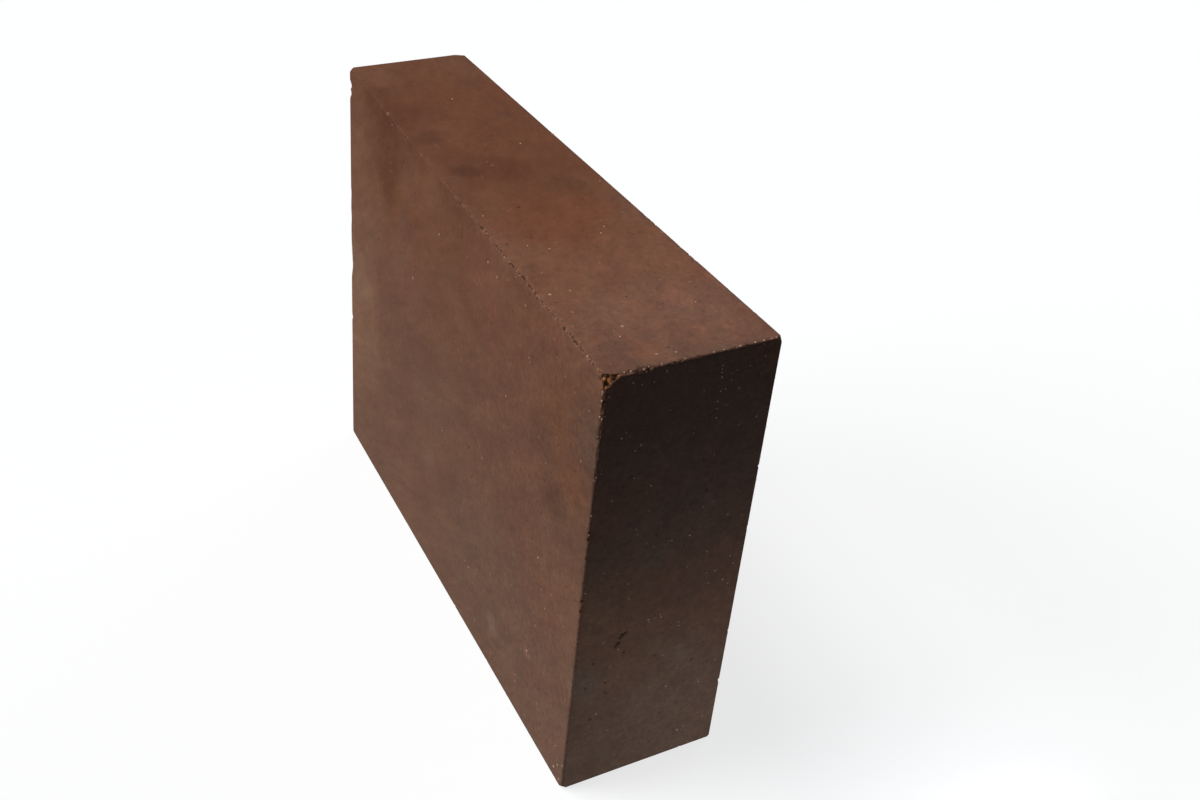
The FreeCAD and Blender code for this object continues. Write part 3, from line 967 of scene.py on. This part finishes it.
# %% Sink, turn and keep inside
on_skin = add(loose, "GeometryNodeProximity", {"Geometry": skin_mesh}, target_element="FACES").outputs["Position"]
skin_normal = add(loose, "GeometryNodeInputNormal").outputs[0]
nearest_normal = {"Mesh": skin_mesh, "Value": skin_normal}
nearest_normal = add(loose, "GeometryNodeSampleNearestSurface", nearest_normal, data_type="FLOAT_VECTOR").outputs[0]
own_radius = add(loose, "GeometryNodeInputNamedAttribute", {"Name": "grain_radius"}).outputs[0]
sunk = add(loose, "ShaderNodeMath", {0: own_radius, 1: grain_dial["Sunk Share"]}, operation="MULTIPLY").outputs[0]
sunk = add(loose, "ShaderNodeMath", {0: sunk, 1: -1.0}, operation="MULTIPLY").outputs[0]
sunk = add(loose, "ShaderNodeVectorMath", {0: nearest_normal, "Scale": sunk}, operation="SCALE").outputs[0]
seated = {"Geometry": grains.outputs[0], "Position": on_skin, "Offset": sunk}
seated = add(loose, "GeometryNodeSetPosition", seated).outputs[0]

ball = add(loose, "GeometryNodeMeshIcoSphere", {"Radius": 1.0, "Subdivisions": 1}).outputs["Mesh"]
turn = add(loose, "FunctionNodeRandomValue", {0: (0.0, 0.0, 0.0), 1: (math.tau,) * 3}, data_type="FLOAT_VECTOR")
odd = add(loose, "FunctionNodeRandomValue", {0: (0.6, 0.6, 0.6), 1: (1.5, 1.5, 1.5)}, data_type="FLOAT_VECTOR")
odd = add(loose, "ShaderNodeVectorMath", {0: odd.outputs[0], "Scale": own_radius}, operation="SCALE").outputs[0]
balls = {"Points": seated, "Instance": ball, "Rotation": turn.outputs[0], "Scale": odd}
balls = add(loose, "GeometryNodeInstanceOnPoints", balls).outputs[0]
real = add(loose, "GeometryNodeRealizeInstances", {"Geometry": balls}).outputs[0]
here = add(loose, "GeometryNodeInputPosition").outputs[0]
above = add(loose, "ShaderNodeVectorMath", {0: here, 1: grain_dial["Low Limit"]}, operation="MAXIMUM").outputs[0]
between = add(loose, "ShaderNodeVectorMath", {0: above, 1: grain_dial["High Limit"]}, operation="MINIMUM").outputs[0]
kept_in = add(loose, "GeometryNodeSetPosition", {"Geometry": real, "Position": between}).outputs[0]
finish_tree(loose, kept_in, grain_dial["Finish"])

grit_piece = run_tree(loose, grit_dials, "loose_grit", start=brick.data)
bpy.data.objects.remove(placed_grains)
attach(grit_piece, "root")

# %% [markdown]
# The grains get the same dry material in four tones. The tree gave every grain its own number between nought and
# one, so each is one colour all over.

# %% The grit's finish
# Each tone starts at a number between nought and one.
GRAIN_TONES = {
    "dark": (0.0, "#3c2a23"),
    "rusty": (0.60, "#7d4a35"),
    "tan": (0.80, "#8e6e5b"),
    "pale": (0.95, "#bb9d87"),
}
GRAIN_DRYNESS, GRAIN_GLOSS = 0.8, 0.15

grit_finish.use_nodes = True
tree = grit_finish.node_tree
surface = tree.nodes["Principled BSDF"]
surface.inputs["Roughness"].default_value = GRAIN_DRYNESS
surface.inputs["Specular IOR Level"].default_value = GRAIN_GLOSS
tone = add(tree, "ShaderNodeAttribute", attribute_name="tone").outputs["Fac"]
tones = add(tree, "ShaderNodeValToRGB", {"Fac": tone})
tones.color_ramp.interpolation = "CONSTANT"
stops = tones.color_ramp.elements
stops.remove(stops[1])
for starts, tint in GRAIN_TONES.values():
    stop = stops[0] if starts == 0.0 else stops.new(starts)
    stop.color = hex_colour(tint)
tree.links.new(tones.outputs["Color"], surface.inputs["Base Color"])

# %% [markdown]
# ## Floor, sky and lamps
#
# The studio is a sheet of white paper under soft light from above and from the left. The camera sees the paper and the
# sky as white, but they light the brick no more than dark grey paper would, because a white room would wash out the
# dark end. A low lamp in front of that end lifts its foot, as light off the ground does, and a weak sun from the far
# right keeps the side that the camera can't see from going black.

# %% Studio
FLOOR_SIZE = 12.0
FLOOR_BOUNCE = hex_colour("#373f49")
SHADOW_SHARE = 0.25
SKY_FILL = (0.025, 0.047, 0.068, 1.0)
WHITE = (1.0, 1.0, 1.0, 1.0)

bpy.ops.mesh.primitive_plane_add(size=FLOOR_SIZE)
floor = bpy.context.object
floor.name = "floor"
floor_material = bpy.data.materials.new("white_paper")
floor.data.materials.append(floor_material)
floor_material.use_nodes = True
tree = floor_material.node_tree
tree.nodes.clear()
rays = add(tree, "ShaderNodeLightPath").outputs
seen = add(tree, "ShaderNodeMath", {0: rays["Is Camera Ray"], 1: rays["Is Glossy Ray"]}, operation="MAXIMUM")
seen = add(tree, "ShaderNodeMath", {0: seen.outputs[0], 1: rays["Is Transmission Ray"]}, operation="MAXIMUM")
bounce = add(tree, "ShaderNodeBsdfDiffuse", {"Color": FLOOR_BOUNCE})
paper = add(tree, "ShaderNodeBsdfDiffuse", {"Color": WHITE})
glow = add(tree, "ShaderNodeEmission", {"Color": WHITE, "Strength": 1.0})
shown = add(tree, "ShaderNodeMixShader", {0: SHADOW_SHARE, 1: glow.outputs[0], 2: paper.outputs[0]})
both = add(tree, "ShaderNodeMixShader", {0: seen.outputs[0], 1: bounce.outputs[0], 2: shown.outputs[0]})
add(tree, "ShaderNodeOutputMaterial", {"Surface": both.outputs[0]})

world = bpy.data.worlds.new("studio")
bpy.context.scene.world = world
world.use_nodes = True
tree = world.node_tree
tree.nodes.clear()
rays = add(tree, "ShaderNodeLightPath").outputs
seen = add(tree, "ShaderNodeMath", {0: rays["Is Camera Ray"], 1: rays["Is Glossy Ray"]}, operation="MAXIMUM")
seen = add(tree, "ShaderNodeMath", {0: seen.outputs[0], 1: rays["Is Transmission Ray"]}, operation="MAXIMUM")
fill = add(tree, "ShaderNodeBackground", {"Color": SKY_FILL})
white = add(tree, "ShaderNodeBackground", {"Color": WHITE})
sky = add(tree, "ShaderNodeMixShader", {0: seen.outputs[0], 1: fill.outputs[0], 2: white.outputs[0]})
add(tree, "ShaderNodeOutputWorld", {"Surface": sky.outputs[0]})

# Each sun is large and soft: where it stands, its strength and how wide it looks in degrees.
SUNS = {
    "overhead": ((-0.35, 0.31, 0.88), 0.65, 30),
    "left_side": ((-0.85, 0.30, 0.43), 0.695, 35),
    "far_right": ((0.86, 0.42, 0.28), 0.25, 40),
}
for name, (stands, strength, width) in SUNS.items():
    lamp = bpy.data.lights.new(name, "SUN")
    lamp.energy = strength * math.pi
    lamp.angle = math.radians(width)
    lamp_object = bpy.data.objects.new(name, lamp)
    lamp_object.rotation_euler = Vector(stands).to_track_quat("Z", "Y").to_euler()
    bpy.context.scene.collection.objects.link(lamp_object)

LOW_LAMP_PLACE = Vector((40, -255, 15)) * MM
LOW_LAMP_AIM = Vector((10, -125, 15)) * MM
lamp = bpy.data.lights.new("low_front", "AREA")
lamp.shape = "RECTANGLE"
lamp.size, lamp.size_y = 0.22, 0.03
lamp.energy = 0.115
lamp.color = (0.84, 0.93, 1.0)
low_lamp = bpy.data.objects.new("low_front", lamp)
low_lamp.location = LOW_LAMP_PLACE
low_lamp.rotation_euler = (LOW_LAMP_PLACE - LOW_LAMP_AIM).to_track_quat("Z", "Y").to_euler()
low_lamp.visible_camera = False
bpy.context.scene.collection.objects.link(low_lamp)

bpy.context.scene.view_settings.view_transform = "Standard"
